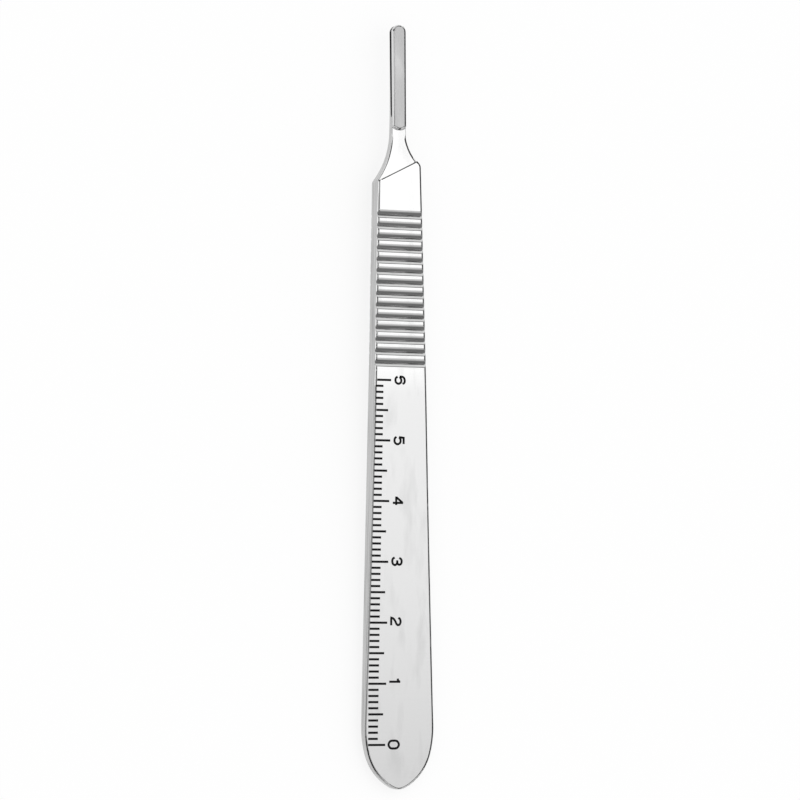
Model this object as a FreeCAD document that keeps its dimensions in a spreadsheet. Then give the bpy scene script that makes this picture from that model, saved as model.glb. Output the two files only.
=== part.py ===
import FreeCAD, Part
import math
import os
import Sketcher
from FreeCAD import Placement, Rotation, Vector

# Scalpel handle: one bar of stainless steel, ground thinner to a rounded tail, grooved for the
# fingers, and milled down at the front to a slanted shoulder, a blade seat and a slotted tongue.
# X runs across the handle, Y along it towards the tongue, and Z up from its flat back.
# Stations are distances along Y from the end of the tail.

SIZES = (
    ("overall_length", 127.0, "end of the tail to the tip of the tongue"),
    ("grip_thickness", 3.5, "back to front over the grip, the shoulder and the tongue"),
    ("tail_thickness", 1.8, "back to front at the end of the tail"),
    ("taper_station", 69.0, "where the front face starts to fall towards the tail"),
    ("taper_blend_radius", 300.0, "large arc from the level front into the taper"),
    ("tail_width", 12.14, "greatest width, near the tail"),
    ("tail_widest_station", 10.1, "where that greatest width lies"),
    ("nose_radius", 2.75, "end of the tail, in plan"),
    ("cheek_radius", 8.76, "between the end of the tail and its flank, in plan"),
    ("flank_radius", 17.0, "widest part of the tail, in plan"),
    ("side_radius", 5500.0, "the long edges behind the grip, which are very slightly hollow"),
    ("shoulder_width", 7.598, "width between the long edges, level with the middle of the shoulder"),
    ("edge_radius", 0.38, "long edges, front and back"),
    ("shoulder_corner_radius", 1.2, "corners between the grip and the neck, in plan"),
    ("tongue_width", 2.4, "blade fitting, side to side"),
    ("right_neck_radius", 8.0, "hollow of the neck on the side where the shoulder lies further forward"),
    ("right_neck_station", 109.4, "where that hollow runs into the side of the tongue"),
    ("left_neck_radius", 13.5, "hollow of the neck on the other side"),
    ("left_neck_station", 108.7, "where that hollow runs into the side of the tongue"),
    ("relief_radius", 81.0, "large arc that thins the neck from behind"),
    ("relief_station", 116.6, "where that arc runs level into the back of the tongue"),
    ("tongue_back_height", 1.85, "back of the tongue above the back of the handle"),
    ("seat_depth", 0.5, "blade seat below the front of the grip"),
    ("shoulder_station", 102.5, "shoulder line, at the middle of the handle"),
    ("shoulder_angle", 27.7, "degrees that the shoulder line slants from straight across"),
    ("heel_station", 109.35, "rear end of the boss on the tongue"),
    ("heel_radius", 1.7, "rear end of the boss, in plan"),
    ("heel_edge_radius", 0.3, "upper edge of the boss at its rear end"),
    ("heel_foot_radius", 0.2, "hollow between the rear end of the boss and the blade seat"),
    ("slot_depth", 0.42, "blade slot, into each side of the tongue"),
    ("slot_height", 0.65, "blade slot, floor to roof"),
    ("slot_floor_height", 2.1, "slot floor above the back of the handle, at the middle of the slots"),
    ("slot_middle_station", 120.0, "where that height holds"),
    ("slot_dip", 1.3, "degrees that the slots fall towards the tip"),
    ("slot_end_station", 114.0, "where the slots begin to run out"),
    ("slot_cutter_radius", 8.0, "disc whose arc the slots run out on"),
    ("groove_station", 70.16, "bottom of the finger groove nearest the tail"),
    ("groove_pitch", 1.905, "from one finger groove to the next"),
    ("groove_count", 14, "finger grooves on each face"),
    ("groove_width", 1.18, "finger groove at the face"),
    ("groove_depth", 0.38, "finger groove below the face"),
    ("groove_valley_radius", 0.06, "rounding at the bottom of each groove"),
    ("overrun", 1.5, "how far the cutting outlines pass the bar"),
)

# How a sketch numbers the points of an edge, and its own origin
START, END, CENTRE = range(1, 4)
ORIGIN = (-1, START)
HALF_TURN = 180
# Points of the model nearer than this are the same point
NEAR = 0.001


def fill_sheet(document):
    sheet = document.addObject("Spreadsheet::Sheet", "Sizes")
    for row, (alias, value, meaning) in enumerate(SIZES, start=1):
        sheet.set(f"A{row}", alias.replace("_", " "))
        sheet.set(f"B{row}", str(value))
        sheet.setAlias(f"B{row}", alias)
        sheet.set(f"C{row}", meaning)
    document.recompute()
    return sheet


def new_sketch(body, name, role):
    sketch = body.newObject("Sketcher::SketchObject", name)
    plane = next(feature for feature in body.Origin.OriginFeatures if feature.Role == role)
    sketch.AttachmentSupport = [(plane, "")]
    sketch.MapMode = "FlatFace"
    return sketch


def number(thing, formula):
    """The value that a formula has now, as a plain number of millimetres or degrees."""
    value = thing.evalExpression(formula)
    return value.Value if isinstance(value, FreeCAD.Units.Quantity) else float(value)


def spot(sketch, x, y):
    return Vector(number(sketch, x), number(sketch, y), 0)


def line(sketch, start, end):
    return sketch.addGeometry(Part.LineSegment(start, end))


def arc(sketch, centre, start, end):
    """Anticlockwise arc from start to end."""
    out, back = start - centre, end - centre
    circle = Part.Circle(centre, Vector(0, 0, 1), out.Length)
    return sketch.addGeometry(Part.ArcOfCircle(circle, math.atan2(out.y, out.x), math.atan2(back.y, back.x)))


def swap(sign, first, second):
    return (first, second) if sign > 0 else (second, first)


def turned(angle):
    return Vector(math.cos(math.radians(angle)), math.sin(math.radians(angle)), 0)


def crossing(first, first_reach, second, second_reach, hand):
    """Where two circles cross: on the left of the way from first to second for hand 1, else right."""
    way = second - first
    along = (way.Length ** 2 + first_reach ** 2 - second_reach ** 2) / (2 * way.Length)
    aside = math.sqrt(first_reach ** 2 - along ** 2)
    ahead = Vector(way).normalize()
    return first + ahead * along + Vector(-ahead.y, ahead.x, 0) * aside * hand


def rule(sketch, kind, *ends):
    sketch.addConstraint(Sketcher.Constraint(kind, *ends))


def dimension(sketch, formula, kind, *ends):
    index = sketch.addConstraint(Sketcher.Constraint(kind, *ends, number(sketch, formula)))
    sketch.setExpression(f"Constraints[{index}]", formula)


def hold(sketch, edge, end, x, y):
    dimension(sketch, x, "DistanceX", *ORIGIN, edge, end)
    dimension(sketch, y, "DistanceY", *ORIGIN, edge, end)


def outline(sketch, corners, closed=True):
    """Straight edges through the corners, each corner held at two formulas."""
    places = [spot(sketch, *corner) for corner in corners]
    ends = places[1:] + places[:1] if closed else places[1:]
    edges = [line(sketch, start, end) for start, end in zip(places, ends)]
    for edge, following in zip(edges, edges[1:] + edges[:1] if closed else edges[1:]):
        rule(sketch, "Coincident", edge, END, following, START)
    for edge, corner in zip(edges, corners):
        hold(sketch, edge, START, *corner)
    if not closed:
        hold(sketch, edges[-1], END, *corners[-1])
    return edges


def cut(body, name, sketch, length=None, upwards=False):
    """Cut the sketch out of the bar: right through both ways, or to a depth from its own plane."""
    before = body.Shape.Volume
    pocket = body.newObject("PartDesign::Pocket", name)
    pocket.Profile = sketch
    if length is None:
        pocket.Type = "ThroughAll"
        pocket.SideType = "Symmetric"
    else:
        pocket.Type = "Length"
        pocket.Reversed = upwards
        pocket.setExpression("Length", length)
    body.Document.recompute()
    if not pocket.Shape.Volume < before:
        raise RuntimeError(f"{name} cuts nothing")
    return pocket


def round_edges(body, name, radius, chosen):
    """Round the edges of the bar, as it stands, for which chosen(edge) is true."""
    base = body.Tip
    names = [f"Edge{n}" for n, edge in enumerate(base.Shape.Edges, start=1) if chosen(edge)]
    if not names:
        raise RuntimeError(f"{name} finds no edge")
    fillet = body.newObject("PartDesign::Fillet", name)
    fillet.Base = (base, names)
    fillet.setExpression("Radius", radius)
    body.Document.recompute()
    return fillet


def add_plate(body):
    """Plan view of the whole handle, one closed line, padded to the full thickness."""
    sketch = new_sketch(body, "plan_view", "XY_Plane")
    names = ("nose", "cheek", "flank", "side", "shoulder_corner")
    nose_radius, cheek_radius, flank_radius, side_radius, corner_radius = (
        number(sketch, f"Sizes.{name}_radius") for name in names)
    half_tongue, tip_place = "(Sizes.tongue_width / 2)", "Sizes.overall_length - Sizes.tongue_width / 2"
    tip_centre, tip_reach = spot(sketch, "0", tip_place), turned(0) * number(sketch, half_tongue)
    tip = arc(sketch, tip_centre, tip_centre + tip_reach, tip_centre - tip_reach)
    nose_centre, nose_ends = Vector(0, nose_radius, 0), []
    halves = []
    for sign, hand in ((1, "right"), (-1, "left")):
        neck_radius, neck_station = f"Sizes.{hand}_neck_radius", f"Sizes.{hand}_neck_station"
        flank_place = (f"{sign} * (Sizes.tail_width / 2 - Sizes.flank_radius)", "Sizes.tail_widest_station")
        shoulder_place = (f"{sign} * Sizes.shoulder_width / 2", "Sizes.shoulder_station")
        neck_place = (f"{sign} * ({half_tongue} + {neck_radius})", neck_station)
        flank_centre, shoulder, neck_centre = (
            spot(sketch, *place) for place in (flank_place, shoulder_place, neck_place))
        # First places for the centres, where each arc about touches its neighbours; the rules make them exact
        lean = (flank_centre.x + sign * flank_radius - shoulder.x) / (shoulder.y - flank_centre.y)
        grip_end = spot(sketch, "0", "Sizes.taper_station")
        grip_end.x = shoulder.x + lean * (shoulder.y - grip_end.y)
        side_centre = grip_end + Vector(sign, lean * sign, 0).normalize() * side_radius
        cheek_centre = crossing(nose_centre, cheek_radius - nose_radius, flank_centre,
                                flank_radius - cheek_radius, -sign)
        corner_centre = neck_centre - Vector(neck_centre.x - shoulder.x + sign * corner_radius, 0, 0)
        reach = number(sketch, neck_radius) + corner_radius
        corner_centre.y -= math.sqrt(reach ** 2 - (neck_centre.x - corner_centre.x) ** 2)
        nose_end = cheek_centre + (nose_centre - cheek_centre).normalize() * cheek_radius
        cheek_end = flank_centre + (cheek_centre - flank_centre).normalize() * flank_radius
        flank_end = flank_centre + (side_centre - flank_centre).normalize() * flank_radius
        corner_start = corner_centre + turned(0) * corner_radius * sign
        corner_end = corner_centre + (neck_centre - corner_centre).normalize() * corner_radius
        neck_end = spot(sketch, f"{sign} * {half_tongue}", neck_station)
        edges = [arc(sketch, cheek_centre, *swap(sign, nose_end, cheek_end)),
                 arc(sketch, flank_centre, *swap(sign, cheek_end, flank_end)),
                 arc(sketch, side_centre, *swap(-sign, flank_end, grip_end)),
                 line(sketch, grip_end, corner_start),
                 arc(sketch, corner_centre, *swap(sign, corner_start, corner_end)),
                 arc(sketch, neck_centre, *swap(-sign, corner_end, neck_end)),
                 line(sketch, neck_end, spot(sketch, f"{sign} * {half_tongue}", tip_place))]
        ways = [swap(turn, START, END) for turn in (sign, sign, -sign, 1, sign, -sign, 1)]
        for edge, way, following, next_way in zip(edges, ways, edges[1:], ways[1:]):
            rule(sketch, "Tangent", edge, way[1], following, next_way[0])
        cheek, flank, side, grip, corner, neck, tongue = edges
        for name, edge in (("cheek", cheek), ("flank", flank), ("side", side), ("shoulder_corner", corner),
                           (f"{hand}_neck", neck)):
            dimension(sketch, f"Sizes.{name}_radius", "Radius", edge)
        hold(sketch, flank, CENTRE, *flank_place)
        hold(sketch, neck, CENTRE, *neck_place)
        dimension(sketch, "Sizes.taper_station", "DistanceY", *ORIGIN, grip, START)
        level_with_shoulder = sketch.addGeometry(Part.Point(shoulder), True)
        hold(sketch, level_with_shoulder, START, *shoulder_place)
        rule(sketch, "PointOnObject", level_with_shoulder, START, grip)
        nose_ends.append(nose_end)
        halves.append((cheek, ways[0][0], tongue))
    nose = arc(sketch, nose_centre, nose_ends[1], nose_ends[0])
    for (cheek, at_cheek, tongue), at_nose, at_tip in zip(halves, (END, START), (START, END)):
        rule(sketch, "Tangent", nose, at_nose, cheek, at_cheek)
        rule(sketch, "Tangent", tongue, END, tip, at_tip)
    ends = ((nose, "Sizes.nose_radius", "Sizes.nose_radius"), (tip, tip_place, half_tongue))
    for edge, place, radius in ends:
        hold(sketch, edge, CENTRE, "0", place)
        dimension(sketch, radius, "Radius", edge)
    pad = body.newObject("PartDesign::Pad", "plate")
    pad.Profile = sketch
    pad.setExpression("Length", "Sizes.grip_thickness")
    body.Document.recompute()


def taper_front(body):
    """Side view of what is ground off the front: a long wedge towards the tail, blended in."""
    sketch = new_sketch(body, "taper", "YZ_Plane")
    bend, top, radius = "Sizes.taper_station", "Sizes.grip_thickness", "Sizes.taper_blend_radius"
    behind, above = "-Sizes.overrun", f"{top} + Sizes.overrun"
    start, centre = spot(sketch, bend, top), spot(sketch, bend, f"{top} - {radius}")
    tail = spot(sketch, "0", "Sizes.tail_thickness")
    # The slope runs through the end of the tail and touches the blend's circle
    low = crossing(centre, number(sketch, radius), (centre + tail) / 2, (tail - centre).Length / 2, -1)
    end = tail + (tail - low) * (number(sketch, "Sizes.overrun") / (low - tail).x)
    blend, slope = arc(sketch, centre, start, low), line(sketch, low, end)
    rise = line(sketch, end, spot(sketch, behind, above))
    over, down = outline(sketch, ((behind, above), (bend, above), (bend, top)), closed=False)
    hold(sketch, blend, CENTRE, bend, f"{top} - {radius}")
    at_tail = sketch.addGeometry(Part.Point(tail), True)
    hold(sketch, at_tail, START, "0", "Sizes.tail_thickness")
    rule(sketch, "PointOnObject", at_tail, START, slope)
    rule(sketch, "Tangent", blend, END, slope, START)
    rule(sketch, "Coincident", slope, END, rise, START)
    rule(sketch, "Coincident", rise, END, over, START)
    rule(sketch, "Vertical", rise)
    rule(sketch, "Coincident", down, END, blend, START)
    cut(body, "taper_cut", sketch)


def round_rims(body):
    """Soften the front and the back edge, all the way round."""
    rim = lambda edge: edge.BoundBox.YLength > 0.001 and edge.BoundBox.ZLength < edge.BoundBox.YLength
    round_edges(body, "rims", "Sizes.edge_radius", rim)


def relieve_back(body):
    """Thin the neck and the tongue from behind along one large arc."""
    sketch = new_sketch(body, "back_relief", "YZ_Plane")
    radius, height = "Sizes.relief_radius", "Sizes.tongue_back_height"
    far, below = "Sizes.overall_length + Sizes.overrun", "-Sizes.overrun"
    turn = number(sketch, f"acos(1 - ({height} + Sizes.overrun) / {radius})")
    centre = ("Sizes.relief_station", f"{height} - {radius}")
    middle, reach = spot(sketch, *centre), number(sketch, radius)
    sweep = arc(sketch, middle, middle + turned(90) * reach, middle + turned(90 + turn) * reach)
    hold(sketch, sweep, CENTRE, *centre)
    dimension(sketch, radius, "Radius", sweep)
    level = line(sketch, spot(sketch, "Sizes.relief_station", height), spot(sketch, far, height))
    drop = line(sketch, spot(sketch, far, height), spot(sketch, far, below))
    floor = line(sketch, spot(sketch, far, below), sketch.getPoint(sweep, END))
    rule(sketch, "Tangent", sweep, START, level, START)
    rule(sketch, "Horizontal", level)
    rule(sketch, "Coincident", level, END, drop, START)
    rule(sketch, "Coincident", drop, END, floor, START)
    rule(sketch, "Coincident", floor, END, sweep, END)
    rule(sketch, "Vertical", drop)
    rule(sketch, "Horizontal", floor)
    hold(sketch, drop, END, far, below)
    cut(body, "back_relief_cut", sketch)


def sink_blade_seat(body):
    """Lower the front of the neck between the slanted shoulder and the heel of the boss."""
    sketch = new_sketch(body, "blade_seat", "XY_Plane")
    sketch.setExpression("AttachmentOffset.Base.z", "Sizes.grip_thickness")
    outer = "(Sizes.tail_width / 2)"
    slant = f"{outer} * tan(Sizes.shoulder_angle * 1 deg)"
    heel_side = "Sizes.heel_station + Sizes.heel_radius"
    edges = outline(sketch, (("-Sizes.heel_radius", heel_side), (f"-{outer}", heel_side),
                             (f"-{outer}", f"Sizes.shoulder_station - {slant}"),
                             (outer, f"Sizes.shoulder_station + {slant}"),
                             (outer, heel_side), ("Sizes.heel_radius", heel_side)), closed=False)
    middle, reach = spot(sketch, "0", heel_side), Vector(number(sketch, "Sizes.heel_radius"), 0, 0)
    heel = arc(sketch, middle, middle - reach, middle + reach)
    rule(sketch, "Coincident", heel, START, edges[0], START)
    rule(sketch, "Coincident", heel, END, edges[-1], END)
    dimension(sketch, heel_side, "DistanceY", *ORIGIN, heel, CENTRE)
    cut(body, "blade_seat_cut", sketch, "Sizes.seat_depth")


def round_heel(body):
    """Hollow foot of the boss's heel, then its soft upper edge, turned about the heel's own centre."""
    seat = number(body, "Sizes.grip_thickness - Sizes.seat_depth")
    heel = Vector(0, number(body, "Sizes.heel_station + Sizes.heel_radius"), seat)
    reach = number(body, "Sizes.heel_radius")
    at_foot = lambda place: abs(place.z - seat) < NEAR and abs(place.distanceToPoint(heel) - reach) < NEAR
    round_edges(body, "heel_foot", "Sizes.heel_foot_radius",
                lambda edge: all(at_foot(vertex.Point) for vertex in edge.Vertexes))
    sketch = new_sketch(body, "heel_rim", "YZ_Plane")
    sketch.setExpression("AttachmentOffset.Base.x", "Sizes.heel_station + Sizes.heel_radius")
    low, high = "Sizes.grip_thickness - Sizes.heel_edge_radius", "Sizes.grip_thickness + Sizes.overrun"
    outside, inside = "-Sizes.heel_radius - Sizes.overrun", "-Sizes.heel_radius + Sizes.heel_edge_radius"
    edges = outline(sketch, (("-Sizes.heel_radius", low), (outside, low), (outside, high), (inside, high),
                             (inside, "Sizes.grip_thickness")), closed=False)
    middle, reach = spot(sketch, inside, low), number(sketch, "Sizes.heel_edge_radius")
    rounding = arc(sketch, middle, middle + turned(90) * reach, middle + turned(180) * reach)
    rule(sketch, "Coincident", rounding, START, edges[-1], END)
    rule(sketch, "Coincident", rounding, END, edges[0], START)
    dimension(sketch, low, "DistanceY", *ORIGIN, rounding, CENTRE)
    body.Document.recompute()
    before = body.Shape.Volume
    turned_cut = body.newObject("PartDesign::Groove", "heel_rim_cut")
    turned_cut.Profile = sketch
    turned_cut.ReferenceAxis = (sketch, ["V_Axis"])
    turned_cut.Midplane = True
    turned_cut.Angle = HALF_TURN
    body.Document.recompute()
    if not turned_cut.Shape.Volume < before:
        raise RuntimeError("heel_rim_cut cuts nothing")


def slot_tongue(body):
    """Cut the two blade slots, open at the tip and running out on the disc's arc."""
    sketch = new_sketch(body, "blade_slots", "XY_Plane")
    sketch.setExpression("AttachmentOffset.Base.y", "Sizes.slot_middle_station")
    sketch.setExpression("AttachmentOffset.Base.z", "Sizes.slot_floor_height")
    sketch.AttachmentOffset = Placement(sketch.AttachmentOffset.Base, Rotation(Vector(1, 0, 0), 0))
    sketch.setExpression("AttachmentOffset.Rotation.Angle", "-Sizes.slot_dip")
    body.Document.recompute()
    web, radius = "(Sizes.tongue_width / 2 - Sizes.slot_depth)", "Sizes.slot_cutter_radius"
    outer = "(Sizes.tongue_width / 2 + Sizes.overrun)"
    end = "Sizes.slot_end_station - Sizes.slot_middle_station"
    far = "Sizes.overall_length + Sizes.overrun - Sizes.slot_middle_station"
    for sign in (1, -1):
        centre = (f"{sign} * ({web} + {radius})", end)
        turn = number(sketch, f"acos(1 - ({outer} - {web}) / {radius})")
        at_web, at_outside = swap(sign, START, END)
        middle, reach = spot(sketch, *centre), sign * number(sketch, radius)
        ends = swap(sign, middle - turned(0) * reach, middle - turned(sign * turn) * reach)
        runout = arc(sketch, middle, *ends)
        hold(sketch, runout, CENTRE, *centre)
        dimension(sketch, radius, "Radius", runout)
        inner = line(sketch, spot(sketch, f"{sign} * {web}", end), spot(sketch, f"{sign} * {web}", far))
        mouth = line(sketch, spot(sketch, f"{sign} * {web}", far), spot(sketch, f"{sign} * {outer}", far))
        outside = line(sketch, spot(sketch, f"{sign} * {outer}", far), sketch.getPoint(runout, at_outside))
        rule(sketch, "Tangent", runout, at_web, inner, START)
        rule(sketch, "Vertical", inner)
        rule(sketch, "Coincident", inner, END, mouth, START)
        rule(sketch, "Coincident", mouth, END, outside, START)
        rule(sketch, "Coincident", outside, END, runout, at_outside)
        rule(sketch, "Horizontal", mouth)
        rule(sketch, "Vertical", outside)
        hold(sketch, outside, START, f"{sign} * {outer}", far)
    cut(body, "blade_slots_cut", sketch, "Sizes.slot_height", upwards=True)


def groove_face(body, name, face, inwards):
    """Cut one V groove across a face and repeat it along the grip."""
    sketch = new_sketch(body, name, "YZ_Plane")
    station, depth, radius = "Sizes.groove_station", "Sizes.groove_depth", "Sizes.groove_valley_radius"
    # The flanks run on past the face by one groove depth, where the V is twice as wide
    lip = f"{face} - ({inwards}) * {depth}"
    valley = (station, f"{face} + ({inwards}) * ({depth} - {radius})")
    slope = number(sketch, f"atan(2 * {depth} / Sizes.groove_width)")
    middle, reach = spot(sketch, *valley), number(sketch, radius) * inwards
    ends = [middle + turned(90 + sign * slope) * reach for sign in (-1, 1)]
    bottom = arc(sketch, middle, *ends)
    hold(sketch, bottom, CENTRE, *valley)
    dimension(sketch, radius, "Radius", bottom)
    low_lip, high_lip = (f"{station} - Sizes.groove_width", lip), (f"{station} + Sizes.groove_width", lip)
    at_low, at_high = swap(-inwards, START, END)
    low_flank = line(sketch, spot(sketch, *low_lip), sketch.getPoint(bottom, at_low))
    high_flank = line(sketch, sketch.getPoint(bottom, at_high), spot(sketch, *high_lip))
    mouth = line(sketch, spot(sketch, *high_lip), spot(sketch, *low_lip))
    rule(sketch, "Tangent", low_flank, END, bottom, at_low)
    rule(sketch, "Tangent", high_flank, START, bottom, at_high)
    rule(sketch, "Coincident", high_flank, END, mouth, START)
    rule(sketch, "Coincident", mouth, END, low_flank, START)
    hold(sketch, mouth, START, *high_lip)
    hold(sketch, mouth, END, *low_lip)
    groove = cut(body, f"{name}_cut", sketch)
    single = groove.Shape.Volume
    pattern = body.newObject("PartDesign::LinearPattern", f"{name}_row")
    pattern.Originals = [groove]
    axis = next(feature for feature in body.Origin.OriginFeatures if feature.Role == "Y_Axis")
    pattern.Direction = (axis, [""])
    pattern.setExpression("Occurrences", "Sizes.groove_count")
    pattern.setExpression("Length", "Sizes.groove_pitch * (Sizes.groove_count - 1)")
    body.Tip = pattern
    body.Document.recompute()
    if not pattern.Shape.Volume < single:
        raise RuntimeError(f"{name} isn't repeated")


def make_handle(document):
    body = document.addObject("PartDesign::Body", "handle")
    body.Label = "handle"
    add_plate(body)
    taper_front(body)
    round_rims(body)
    relieve_back(body)
    sink_blade_seat(body)
    round_heel(body)
    slot_tongue(body)
    groove_face(body, "front_grooves", "Sizes.grip_thickness", -1)
    groove_face(body, "back_grooves", "0", 1)
    body.setExpression("Placement.Base.y", "-Sizes.overall_length / 2")
    document.recompute()
    return body


def check(document, pieces):
    for thing in document.Objects:
        if "Invalid" in thing.State or "Error" in thing.State:
            raise RuntimeError(f"{thing.Name} has failed: {thing.State}")
    for piece in pieces:
        if piece.Shape.isNull() or not piece.Shape.isValid() or len(piece.Shape.Solids) != 1:
            raise RuntimeError(f"{piece.Label} isn't one sound solid")


document = FreeCAD.newDocument("scalpel_handle")
fill_sheet(document)
pieces = [make_handle(document)]
check(document, pieces)
os.makedirs("parts", exist_ok=True)
for piece in pieces:
    piece.Shape.exportStep(f"parts/{piece.Label}.step")
    box = piece.Shape.optimalBoundingBox()
    print(f"{piece.Label}: {piece.Shape.Volume:.1f} mm3, x {box.XMin:.2f} to {box.XMax:.2f}, "
          f"y {box.YMin:.2f} to {box.YMax:.2f}, z {box.ZMin:.2f} to {box.ZMax:.2f}")
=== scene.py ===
import math

import bmesh
import bpy
from mathutils import Matrix, Vector
from mathutils.bvhtree import BVHTree


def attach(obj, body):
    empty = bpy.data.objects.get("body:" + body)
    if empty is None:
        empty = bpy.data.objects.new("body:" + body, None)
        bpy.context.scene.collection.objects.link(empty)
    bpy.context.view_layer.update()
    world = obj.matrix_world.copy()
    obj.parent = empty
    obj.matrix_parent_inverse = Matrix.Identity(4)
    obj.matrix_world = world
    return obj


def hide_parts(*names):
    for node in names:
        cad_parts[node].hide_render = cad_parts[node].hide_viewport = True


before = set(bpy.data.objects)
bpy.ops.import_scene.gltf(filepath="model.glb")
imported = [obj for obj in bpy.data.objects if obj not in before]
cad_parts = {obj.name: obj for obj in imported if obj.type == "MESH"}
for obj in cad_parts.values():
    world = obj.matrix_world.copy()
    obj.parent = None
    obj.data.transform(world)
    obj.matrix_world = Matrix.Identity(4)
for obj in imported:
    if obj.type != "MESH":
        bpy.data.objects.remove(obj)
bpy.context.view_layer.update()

# Handle
# One bar of stainless steel, milled to shape, tumbled until its edges are soft and then polished bright.
# Its surface is the modelled solid itself, merged and given smooth shading between the real edges.
MM = 0.001
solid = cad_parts["handle"]


def node_mesh(node):
    """The node's mesh as one joined surface, for a bmesh to start from."""
    surface = bmesh.new()
    surface.from_mesh(node.data)
    surface.transform(node.matrix_world)
    bmesh.ops.remove_doubles(surface, verts=surface.verts, dist=0.000002)
    bmesh.ops.recalc_face_normals(surface, faces=surface.faces)
    return surface


def finish_piece(name, surface, material):
    """Turns a bmesh into an object that rides on the handle's body."""
    mesh = bpy.data.meshes.new(name)
    surface.to_mesh(mesh)
    surface.free()
    piece = bpy.data.objects.new(name, mesh)
    bpy.context.scene.collection.objects.link(piece)
    mesh.materials.append(material)
    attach(piece, "root")
    return piece


def shader_of(material, color, metallic, roughness):
    """Switches nodes on and sets the shader's own sockets."""
    material.use_nodes = True
    shader = material.node_tree.nodes["Principled BSDF"]
    shader.inputs["Base Color"].default_value = (*color, 1)
    shader.inputs["Metallic"].default_value = metallic
    shader.inputs["Roughness"].default_value = roughness
    return shader


def link(material, source, output, target, socket):
    material.node_tree.links.new(source.outputs[output], target.inputs[socket])


def add_node(material, kind, **settings):
    """A shader node with its plain settings; the rest are sockets."""
    node = material.node_tree.nodes.new(kind)
    for name, value in settings.items():
        setattr(node, name, value)
    return node


def add_ramp(material, source, output, stops):
    """A ramp of greys over a value; each stop is a place and a grey."""
    ramp = add_node(material, "ShaderNodeValToRGB")
    link(material, source, output, ramp, "Fac")
    entries = ramp.color_ramp.elements
    for index, (place, grey) in enumerate(stops):
        entry = entries[index] if index < 2 else entries.new(place)
        entry.position = place
        entry.color = (grey, grey, grey, 1)
    return ramp


def mapped(material, source, output, low, high):
    """A share from 0 to 1 between two values."""
    spread = add_node(material, "ShaderNodeMapRange")
    link(material, source, output, spread, "Value")
    spread.inputs["From Min"].default_value = low
    spread.inputs["From Max"].default_value = high
    return spread


steel = bpy.data.materials.new("steel")
steel_shader = shader_of(steel, (0.92, 0.92, 0.92), 1, 0.1)
place = add_node(steel, "ShaderNodeTexCoord")
axes = add_node(steel, "ShaderNodeSeparateXYZ")
link(steel, place, "Object", axes, "Vector")

# Four greys, told apart by a number that each face carries: its number, grey and roughness; three are
# finishes, and the slots' near-black is painted shade
POLISHED = (0, 0.92, 0.07)
BOSS = (0.35, 0.72, 0.20)
# The sides' grey is partly painted shade: ground satin, and darkened to stand for the shaded floor beside the
# part that they mirror
SIDE = (0.7, 0.52, 0.20)
# The slots' near-black grey is painted shade in their recess
SLOT_PAINTED_SHADE = (1, 0.10, 0.40)
GRINDING_GRAIN = (500, 110, 2200)
UNEVENNESS = 0.09
finish_and_shade_of_face = add_node(steel, "ShaderNodeAttribute", attribute_name="finish_and_painted_shade")
# Each is a little uneven, in streaks along the bar
grinding_place = add_node(steel, "ShaderNodeMapping")
grinding_place.inputs["Scale"].default_value = GRINDING_GRAIN
link(steel, place, "Object", grinding_place, "Vector")
grinding = add_node(steel, "ShaderNodeTexNoise")
grinding.inputs["Scale"].default_value = 1
link(steel, grinding_place, "Vector", grinding, "Vector")
swing = mapped(steel, grinding, 0, 0.3, 0.7)
swing.inputs["To Min"].default_value = -UNEVENNESS
swing.inputs["To Max"].default_value = UNEVENNESS
uneven = add_node(steel, "ShaderNodeMath", operation="ADD", use_clamp=True)
link(steel, finish_and_shade_of_face, "Fac", uneven, 0)
link(steel, swing, "Result", uneven, 1)
for socket, part in (("Base Color", 1), ("Roughness", 2)):
    stops = [(finish_and_painted_shade[0], finish_and_painted_shade[part]) for finish_and_painted_shade in (POLISHED, BOSS, SIDE, SLOT_PAINTED_SHADE)]
    ramp = add_ramp(steel, uneven, "Value", stops)
    link(steel, ramp, "Color", steel_shader, socket)

# Faint streaks across the bar from grinding, and the grooves' cutter marks
STREAK_GRAIN = (180, 2600, 2600)
STREAK_DEPTH = 0.02 * MM
GRIP = (5.5 * MM, 32.5 * MM)
streak_place = add_node(steel, "ShaderNodeMapping")
streak_place.inputs["Scale"].default_value = STREAK_GRAIN
link(steel, place, "Object", streak_place, "Vector")
streaks = add_node(steel, "ShaderNodeTexNoise")
streaks.inputs["Scale"].default_value = 1
streaks.inputs["Detail"].default_value = 3
link(steel, streak_place, "Vector", streaks, "Vector")
relief = add_node(steel, "ShaderNodeBump")
relief.inputs["Distance"].default_value = STREAK_DEPTH
link(steel, streaks, 0, relief, "Height")
# They are strongest where the grooves were cut
grooved = mapped(steel, axes, "Y", *GRIP)
depth = add_ramp(steel, grooved, "Result", ((0, 0.05), (1, 0.05), (0.02, 0.8), (0.98, 0.8)))
link(steel, depth, "Color", relief, "Strength")
link(steel, relief, "Normal", steel_shader, "Normal")

skin = node_mesh(solid)
# Flat and rounded faces become whole again, then polishing takes a little metal off every crisp outer edge,
# and more off the edges of the neck and off the grooves' flanks that face the tail
SHARP_ANGLE = math.radians(28)
CRISP_ROUNDING = 0.08 * MM
GROOVE_ROUNDING = 0.22 * MM
SHOULDER_ROUNDING = 0.18 * MM
LEFT_NECK_ROUNDING = 0.22 * MM
RIGHT_NECK_ROUNDING = 0.42 * MM
SEAT_HEIGHT = 3.0 * MM
FRONT_HEIGHT = 3.5 * MM
NECK = (36 * MM, 45.8 * MM)
FLATNESS = math.radians(0.6)
LEVEL = 0.02 * MM
FLANK_TILT = -0.3
# The shoulder's left corner, from which the last rounding keeps away
CORNER = (-2.5 * MM, 35.5 * MM, 2.9 * MM)
bmesh.ops.dissolve_limit(skin, angle_limit=FLATNESS, verts=skin.verts, edges=skin.edges)


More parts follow.
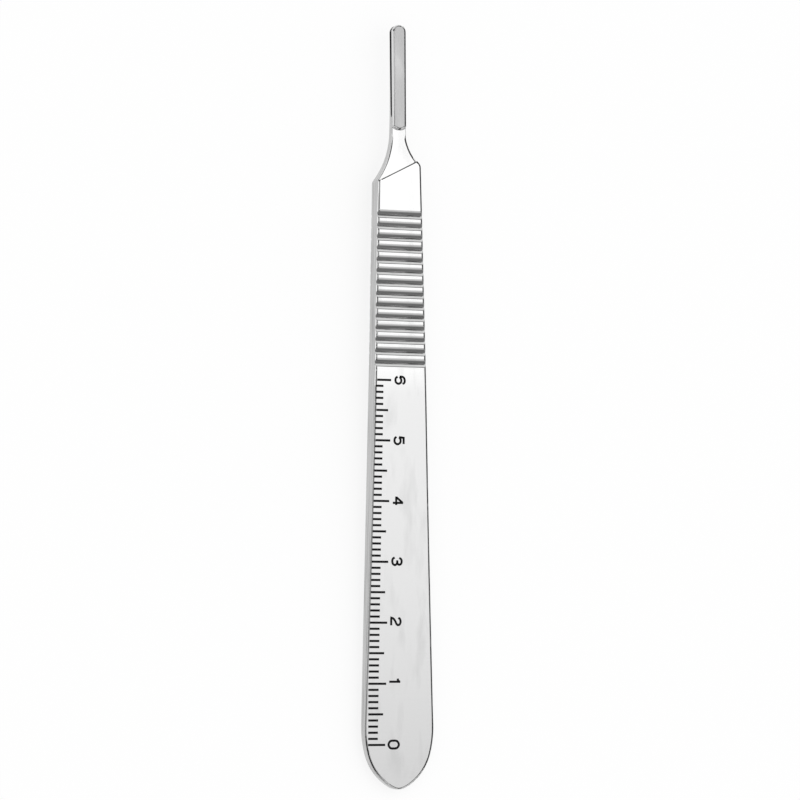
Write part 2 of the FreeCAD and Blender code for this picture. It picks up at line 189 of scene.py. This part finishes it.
def round_edges(rounding, chosen):
    """Rounds the crisp outer edges for which chosen(edge) is true."""
    edges = [edge for edge in skin.edges if len(edge.link_faces) == 2 and edge.is_convex
             and edge.calc_face_angle() > SHARP_ANGLE and chosen(edge)]
    bmesh.ops.bevel(skin, geom=edges, offset=rounding, offset_type="OFFSET", segments=4, profile=0.5,
                    affect="EDGES", clamp_overlap=False, material=-1)


def lies_at(edge, height, stretch, side=0):
    """Level with a height, within a stretch along the bar, and on one side of it if side is -1 or 1."""
    return all(abs(vertex.co.z - height) < LEVEL and stretch[0] < vertex.co.y < stretch[1]
               and vertex.co.x * side >= 0 for vertex in edge.verts)


def on_tail_flank(edge):
    """On the front, where a groove's flank that faces the tail begins."""
    return lies_at(edge, FRONT_HEIGHT, GRIP) and min(face.normal.y for face in edge.link_faces) < FLANK_TILT


def in_corner(vertex):
    return vertex.co.x < CORNER[0] and vertex.co.y > CORNER[1] and vertex.co.z > CORNER[2]


round_edges(LEFT_NECK_ROUNDING, lambda edge: lies_at(edge, SEAT_HEIGHT, NECK, -1))
round_edges(RIGHT_NECK_ROUNDING, lambda edge: lies_at(edge, SEAT_HEIGHT, NECK, 1))
round_edges(SHOULDER_ROUNDING, lambda edge: lies_at(edge, FRONT_HEIGHT, NECK))
round_edges(GROOVE_ROUNDING, on_tail_flank)
round_edges(CRISP_ROUNDING, lambda edge: not any(in_corner(vertex) for vertex in edge.verts))
for vertex in skin.verts:
    vertex.co.z = min(vertex.co.z, FRONT_HEIGHT)
for edge in skin.edges:
    edge.smooth = len(edge.link_faces) == 2 and edge.calc_face_angle() < SHARP_ANGLE

# The sides are ground satin, the boss less so, and the sides' darker grey is partly painted shade. The slots
# are painted near-black, a painted shade in their recess.
# A painted shade near the slots' own grey darkens the rounded right edges and the shoulder's edge, standing
# for their dark reflections.
HEEL = 45.95 * MM
SLOT_WALL = 1.17 * MM
SLOT_HEIGHTS = (2.0 * MM, 2.9 * MM)
RULED_END = 3 * MM
UPRIGHT = 0.35
UPRIGHT_BESIDE_SCALE = 0.75
LEVEL_FACE = 0.98
SHADED = 0.97
RIGHT_TURNED = 0.45
ROUNDED = (0.05, 0.93)
ROUNDED_ABOVE = 1 * MM
SHOULDER_ABOVE = 3.3 * MM
TIP_TURNED = 0.15
# Each face gets its finish number, or a painted shade number for the slots and the darkened edges
finish_and_shade_layer = skin.faces.layers.float.new("finish_and_painted_shade")
for face in skin.faces:
    face.smooth = True
    middle = face.calc_center_median()
    face[finish_and_shade_layer] = POLISHED[0]
    # Partly painted shade: upright faces take the sides' darker grey, and beside the scale so does more of
    # the rounded edge
    if abs(face.normal.z) < (UPRIGHT if middle.y > RULED_END else UPRIGHT_BESIDE_SCALE):
        face[finish_and_shade_layer] = SIDE[0]
    elif middle.y > HEEL and face.normal.z > LEVEL_FACE:
        face[finish_and_shade_layer] = BOSS[0]
    # Painted shade: faces inside the slots are painted near-black
    if middle.y > HEEL and SLOT_HEIGHTS[0] < middle.z < SLOT_HEIGHTS[1] and abs(middle.x) < SLOT_WALL:
        face[finish_and_shade_layer] = SLOT_PAINTED_SHADE[0]
    # Painted shade on the rounded right edges
    if face.normal.x > RIGHT_TURNED and ROUNDED[0] < face.normal.z < ROUNDED[1] and middle.z > ROUNDED_ABOVE:
        face[finish_and_shade_layer] = SHADED
    # Painted shade on the shoulder's edge
    if NECK[0] < middle.y < NECK[1] and middle.z > SHOULDER_ABOVE and face.normal.y > TIP_TURNED:
        face[finish_and_shade_layer] = SHADED
handle = finish_piece("handle_steel", skin, steel)
weighted = handle.modifiers.new("normals", "WEIGHTED_NORMAL")
weighted.mode = "FACE_AREA"
weighted.weight = 100
weighted.keep_sharp = True
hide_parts("handle")

# Scale
# Six centimetres of millimetre strokes and seven figures, etched black into the thinned rear of the face.
# Each stroke starts on the soft left edge, follows it down, and ends square on the flat.
TAIL = -63.5 * MM
SCALE_ZERO = 7.30 * MM
CENTIMETRE = 10 * MM
FILM = 0.012 * MM
SUNK = 0.05 * MM
STROKE = 0.37 * MM
ABOVE_ALL = 20 * MM
CENTIMETRES = 6
MILLIMETRES = 10 * CENTIMETRES

ink = bpy.data.materials.new("scale_black")
ink_shader = shader_of(ink, (0.010, 0.010, 0.011), 0, 0.6)
ink_shader.inputs["Specular IOR Level"].default_value = 0.1

target_surface = node_mesh(solid)
target = BVHTree.FromBMesh(target_surface)
target_surface.free()


def face_height(x, y):
    """Height of the front face under a point of the plan."""
    return target.ray_cast(Vector((x, y, ABOVE_ALL)), Vector((0, 0, -1)))[0].z


def add_ribbon(surface, sections):
    """Closed strip through sections of two plan points each, slightly proud of the face and sunk into it."""
    rings = []
    for first, second in sections:
        ring = []
        for lift in (FILM, -SUNK):
            for x, y in (first, second) if lift > 0 else (second, first):
                ring.append(surface.verts.new((x, y, min(face_height(x, y) + lift, FRONT_HEIGHT))))
        rings.append(ring)
    for before, after in zip(rings, rings[1:]):
        for side in range(4):
            nearby = (side + 1) % 4
            surface.faces.new((before[side], before[nearby], after[nearby], after[side]))
    surface.faces.new(reversed(rings[0]))
    surface.faces.new(rings[-1])


def between(share, start, end):
    """The value that lies a share of the way from start to end."""
    return start + (end - start) * share


# The left ends follow the bar's long edge and are given for every centimetre,
# the right ends for the first and the last, by kind of stroke: ten, five and one millimetre
LEFT_ENDS = (-5.44 * MM, -5.45 * MM, -5.26 * MM, -4.99 * MM, -4.74 * MM, -4.58 * MM, -4.34 * MM)
RIGHT_ENDS = {10: (-2.48 * MM, -1.73 * MM), 5: (-2.92 * MM, -2.20 * MM), 1: (-3.78 * MM, -3.07 * MM)}
PARTS = 12

strokes = bmesh.new()
for millimetre in range(MILLIMETRES + 1):
    kind = 10 if millimetre % 10 == 0 else 5 if millimetre % 5 == 0 else 1
    share = millimetre / MILLIMETRES
    y = TAIL + SCALE_ZERO + millimetre * MM
    whole = min(CENTIMETRES - 1, millimetre // 10)
    left = between(millimetre / 10 - whole, LEFT_ENDS[whole], LEFT_ENDS[whole + 1])
    right = between(share, *RIGHT_ENDS[kind])
    sections = []
    for part in range(PARTS + 1):
        x = between(part / PARTS, left, right)
        sections.append(((x, y + STROKE / 2), (x, y - STROKE / 2)))
    add_ribbon(strokes, sections)
bmesh.ops.recalc_face_normals(strokes, faces=strokes.faces)
finish_piece("scale_strokes", strokes, ink)

# Figures: rounded single strokes, drawn in units of their own height with the middle of the foot at 0, 0.
# A letter after a point says how the stroke passes it: s smooth, c corner.
FIGURE_HEIGHT = 1.64 * MM
FIGURE_STROKE = 0.37 * MM
FIGURES = {
    0: [[(-0.39, 0.5, "s"), (-0.33, 0.86, "s"), (0, 1.05, "s"), (0.33, 0.86, "s"), (0.39, 0.5, "s"),
         (0.33, 0.14, "s"), (0, -0.05, "s"), (-0.33, 0.14, "s"), (-0.39, 0.5, "s")]],
    1: [[(0.08, -0.09, "c"), (0.08, 1.09, "c")], [(-0.24, 0.82, "c"), (-0.08, 0.84, "s"), (0.06, 0.97, "c")]],
    2: [[(-0.37, 0.76, "s"), (-0.25, 0.93, "s"), (-0.01, 1, "s"), (0.25, 0.93, "s"), (0.36, 0.74, "s"),
         (0.25, 0.57, "s"), (-0.05, 0.42, "s"), (-0.28, 0.24, "s"), (-0.39, 0, "c"), (0.39, 0, "c")]],
    3: [[(-0.34, 0.74, "s"), (-0.22, 0.93, "s"), (0, 1, "s"), (0.24, 0.94, "s"), (0.345, 0.76, "s"),
         (0.27, 0.60, "s"), (0.08, 0.53, "s"), (-0.10, 0.53, "c")],
        [(-0.10, 0.53, "c"), (0.10, 0.53, "s"), (0.29, 0.45, "s"), (0.38, 0.27, "s"), (0.26, 0.07, "s"),
         (0, 0, "s"), (-0.25, 0.06, "s"), (-0.375, 0.26, "s")]],
    4: [[(0.22, 1.0, "c"), (-0.36, 0.31, "c")], [(-0.42, 0.30, "c"), (0.44, 0.30, "c")],
        [(0.22, 1.04, "c"), (0.22, -0.06, "c")]],
    5: [[(0.33, 0.98, "c"), (-0.30, 0.98, "c"), (-0.36, 0.48, "c")],
        [(-0.34, 0.50, "c"), (-0.17, 0.625, "s"), (0.02, 0.65, "s"), (0.22, 0.59, "s"), (0.36, 0.315, "s"),
         (0.21, 0.06, "s"), (-0.01, 0, "s"), (-0.24, 0.045, "s"), (-0.38, 0.22, "s")]],
    6: [[(0.35, 0.76, "s"), (0.24, 0.945, "s"), (0, 1, "s"), (-0.26, 0.91, "s"), (-0.37, 0.70, "s"),
         (-0.37, 0.44, "s")],
        [(-0.35, 0.46, "c"), (-0.13, 0.60, "s"), (0.04, 0.625, "s"), (0.22, 0.57, "s"), (0.35, 0.315, "s"),
         (0.21, 0.06, "s"), (-0.01, 0, "s"), (-0.23, 0.05, "s"), (-0.37, 0.24, "s")]],
}
STEPS = 10
FULLNESS = 0.5
NEAREST = 1e-9
SHARPEST_CORNER = 0.75


def smooth_line(points):
    """Points along a curve through the given ones, with straight runs between corners."""
    closed = points[0][:2] == points[-1][:2]
    line = []
    for index in range(len(points) - 1):
        start, end = Vector(points[index][:2]), Vector(points[index + 1][:2])
        chord = end - start
        leaving = arriving = chord
        if points[index][2] == "s":
            before = points[index - 1] if index else (points[-2] if closed else None)
            leaving = (end - Vector(before[:2])) * FULLNESS if before else chord
        if points[index + 1][2] == "s":
            last = index + 2 == len(points)
            after = points[1] if last and closed else (None if last else points[index + 2])
            arriving = (Vector(after[:2]) - start) * FULLNESS if after else chord
        for step in range(STEPS):
            t = step / STEPS
            line.append(start * (2 * t**3 - 3 * t**2 + 1) + leaving * (t**3 - 2 * t**2 + t)
                        + end * (3 * t**2 - 2 * t**3) + arriving * (t**3 - t**2))
    line.append(Vector(points[-1][:2]))
    return line, closed


figures = bmesh.new()
# Where the figures' feet stand across the bar, at the first figure and at the last
FIGURE_FOOT = (-2.00 * MM, -1.16 * MM)
# How far each figure sits beyond its stroke, towards the tip
FIGURE_SHIFTS = (0.05 * MM, 0.46 * MM, 0.21 * MM, 0.11 * MM, 0.09 * MM, 0, 0)
for figure, strokes_of_figure in FIGURES.items():
    middle_y = TAIL + SCALE_ZERO + figure * CENTIMETRE + FIGURE_SHIFTS[figure]
    foot_x = between(figure / CENTIMETRES, *FIGURE_FOOT) + FIGURE_STROKE / 2
    for points in strokes_of_figure:
        line, closed = smooth_line(points)
        half = FIGURE_STROKE / 2 / FIGURE_HEIGHT
        sections = []
        for index, point in enumerate(line):
            before = line[index - 1] if index else (line[-2] if closed else point)
            after = line[index + 1] if index + 1 < len(line) else (line[1] if closed else point)
            along_in, along_out = (point - before), (after - point)
            along_in = along_in.normalized() if along_in.length > NEAREST else along_out.normalized()
            along_out = along_out.normalized() if along_out.length > NEAREST else along_in
            along = (along_in + along_out).normalized()
            reach = half / max(SHARPEST_CORNER, along.dot(along_out))
            across = Vector((-along.y, along.x)) * reach
            sections.append([(foot_x + v * FIGURE_HEIGHT, middle_y - u * FIGURE_HEIGHT)
                             for u, v in (point + across, point - across)])
        add_ribbon(figures, sections)
bmesh.ops.recalc_face_normals(figures, faces=figures.faces)
finish_piece("scale_figures", figures, ink)

# Floor, light and camera
# A plain pale sheet under the part, soft light from above and all round.
FLOOR_SIZE = 4
floor_surface = bmesh.new()
bmesh.ops.create_grid(floor_surface, x_segments=1, y_segments=1, size=FLOOR_SIZE / 2)
floor_mesh = bpy.data.meshes.new("floor")
floor_surface.to_mesh(floor_mesh)
floor_surface.free()
floor = bpy.data.objects.new("floor", floor_mesh)
bpy.context.scene.collection.objects.link(floor)
floor_paint = bpy.data.materials.new("floor")
floor_shader = shader_of(floor_paint, (0.97, 0.97, 0.97), 0, 0.9)
floor_shader.inputs["Specular IOR Level"].default_value = 0
# Seen by the camera or in the steel, the sheet is nearly white by itself, so that its shadow stays light
SELF_WHITE = 0.8
glow = add_node(floor_paint, "ShaderNodeEmission")
sight = add_node(floor_paint, "ShaderNodeLightPath")
seen = add_node(floor_paint, "ShaderNodeMath", operation="MAXIMUM")
link(floor_paint, sight, "Is Camera Ray", seen, 0)
link(floor_paint, sight, "Is Glossy Ray", seen, 1)
share = add_node(floor_paint, "ShaderNodeMath", operation="MULTIPLY")
share.inputs[1].default_value = SELF_WHITE
link(floor_paint, seen, "Value", share, 0)
floor_mix = add_node(floor_paint, "ShaderNodeMixShader")
link(floor_paint, share, "Value", floor_mix, "Fac")
link(floor_paint, floor_shader, "BSDF", floor_mix, 1)
link(floor_paint, glow, "Emission", floor_mix, 2)
link(floor_paint, floor_mix, "Shader", floor_paint.node_tree.nodes["Material Output"], "Surface")
floor_mesh.materials.append(floor_paint)

# Soft panels stand all round in the studio's walls. Seen straight or lit by them, they are one even light;
# only the polished steel shows them apart, as a bright strip, grey walls and dark gaps between them.
world = bpy.data.worlds.new("studio")
bpy.context.scene.world = world
world.use_nodes = True
sky = world.node_tree
sky.nodes["Background"].inputs["Color"].default_value = (1, 1, 1, 1)


def sky_link(source, output, target, socket):
    sky.links.new(source.outputs[output], target.inputs[socket])


def sky_ramp(source, output, stops):
    """A grey ramp over one part of the view direction, mapped from -1..1 to 0..1."""
    spread = sky.nodes.new("ShaderNodeMapRange")
    spread.inputs["From Min"].default_value = -1
    sky_link(source, output, spread, "Value")
    ramp = sky.nodes.new("ShaderNodeValToRGB")
    sky_link(spread, "Result", ramp, "Fac")
    colors = ramp.color_ramp.elements
    while len(colors) > 1:
        colors.remove(colors[-1])
    for index, (place, grey) in enumerate(stops):
        entry = colors[0] if index == 0 else colors.new((place + 1) / 2)
        entry.position = (place + 1) / 2
        entry.color = (grey, grey, grey, 1)
    return ramp


view = sky.nodes.new("ShaderNodeTexCoord")
bearing = sky.nodes.new("ShaderNodeSeparateXYZ")
sky_link(view, "Generated", bearing, "Vector")
# Along the part: dark beyond the tail, rising to full white over the flat, dark, then pale beyond the tip
along = sky_ramp(bearing, "Y", ((-1, 0.03), (-0.88, 0.03), (-0.80, 0.16), (-0.74, 0.20), (-0.55, 0.45),
                                (-0.30, 0.60), (-0.10, 0.65), (-0.066, 0.72), (-0.017, 0.86), (0.049, 0.96),
                                (0.10, 1.15), (0.25, 1.15), (0.36, 0.10), (0.80, 0.10), (0.86, 0.68),
                                (1, 0.68)))
# Across it: one bright panel a little to the right of overhead, and a low one far to the left
across = sky_ramp(bearing, "X", ((-1, 1.2), (-0.97, 1.2), (-0.93, 0.04), (0.21, 0.03), (0.29, 1), (0.37, 1),
                                 (0.41, 0.03), (1, 0.03)))


def sky_math(operation, first, second):
    """Combines the greys or numbers of two nodes."""
    result = sky.nodes.new("ShaderNodeMath")
    result.operation = operation
    sky_link(first, 0, result, 0)
    sky_link(second, 0, result, 1)
    return result


# Away from that strip the room is grey on both sides, with dark gaps beside the part that draw its long edges
left_side = sky_ramp(bearing, "X", ((-1, 1), (0.20, 1), (0.28, 0), (1, 0)))
left_room = sky_ramp(bearing, "Y", ((-1, 0.55), (-0.78, 0.55), (-0.70, 0), (-0.15, 0), (-0.11, 0.25),
                                    (0.08, 0.25), (0.10, 0), (0.150, 0), (0.162, 0.55), (0.205, 0.55),
                                    (0.225, 0), (0.50, 0), (0.58, 0.55), (1, 0.55)))
right_side = sky_ramp(bearing, "X", ((-1, 0), (0.43, 0), (0.50, 1), (1, 1)))
right_room = sky_ramp(bearing, "Y", ((-1, 0.55), (-0.45, 0.55), (-0.30, 0), (0.45, 0), (0.52, 0.55),
                                     (1, 0.55)))
left_wall = sky_math("MULTIPLY", left_side, left_room)
right_wall = sky_math("MULTIPLY", right_side, right_room)
walls = sky_math("MAXIMUM", left_wall, right_wall)
# Overhead, and low on the right, a plain grey keeps the face from turning black in other views;
# it ends short of what the grooves' flanks reflect, so that they still stand out
overhead = sky_ramp(bearing, "X", ((-1, 0), (-0.12, 0), (-0.07, 0.8), (0.07, 0.8), (0.12, 0), (0.955, 0),
                                   (0.962, 0.35), (1, 0.35)))
overhead_room = sky_ramp(bearing, "Y", ((-1, 0), (-0.75, 0), (-0.65, 1), (0.45, 1), (0.55, 0), (1, 0)))
ceiling = sky_math("MULTIPLY", overhead, overhead_room)
room = sky_math("MAXIMUM", walls, ceiling)
panels = sky_math("MAXIMUM", sky_math("MULTIPLY", along, across), room)
# What lights the floor is softer, and stronger from the right
SPILL_SLOPE = 0.5
SPILL_LEVEL = 1.0
spill = sky.nodes.new("ShaderNodeMath")
spill.operation = "MULTIPLY_ADD"
spill.inputs[1].default_value = SPILL_SLOPE
spill.inputs[2].default_value = SPILL_LEVEL
sky_link(bearing, "X", spill, 0)
path = sky.nodes.new("ShaderNodeLightPath")
seen_or_lit = sky.nodes.new("ShaderNodeMix")
seen_or_lit.data_type = "FLOAT"
sky_link(spill, "Value", seen_or_lit, "A")
sky_link(path, "Is Glossy Ray", seen_or_lit, "Factor")
sky_link(panels, "Value", seen_or_lit, "B")
sky_link(seen_or_lit, "Result", sky.nodes["Background"], "Strength")

bpy.context.scene.view_settings.view_transform = "Standard"

# The camera looks down on the part from 0.575 m, 20 degrees to its left and 5 degrees towards its tail
DISTANCE = 0.575
LEAN = math.radians(20)
DIP = math.radians(5.08)
ROLL = math.radians(-0.23)
AIM = Vector((0, 0, 0.0018))
toward = Vector((-math.sin(LEAN) * math.cos(DIP), -math.sin(DIP), math.cos(LEAN) * math.cos(DIP)))
up = (Vector((0, 1, 0)) - toward * toward.y).normalized()
right = up.cross(toward)
turned_right = right * math.cos(ROLL) + up * math.sin(ROLL)
turned_up = up * math.cos(ROLL) - right * math.sin(ROLL)
lens = bpy.data.cameras.new("camera")
lens.sensor_width = 36
PIXELS = 800
FOCAL_PIXELS = 3469
AIM_PIXEL = (397.6, 404.15)
lens.lens = FOCAL_PIXELS * lens.sensor_width / PIXELS
lens.shift_x = (PIXELS / 2 - AIM_PIXEL[0]) / PIXELS
lens.shift_y = (AIM_PIXEL[1] - PIXELS / 2) / PIXELS
lens.clip_start = 0.01
camera = bpy.data.objects.new("camera", lens)
bpy.context.scene.collection.objects.link(camera)
rotation = Matrix((turned_right, turned_up, toward)).transposed().to_4x4()
camera.matrix_world = Matrix.Translation(AIM + toward * DISTANCE) @ rotation
bpy.context.scene.camera = camera
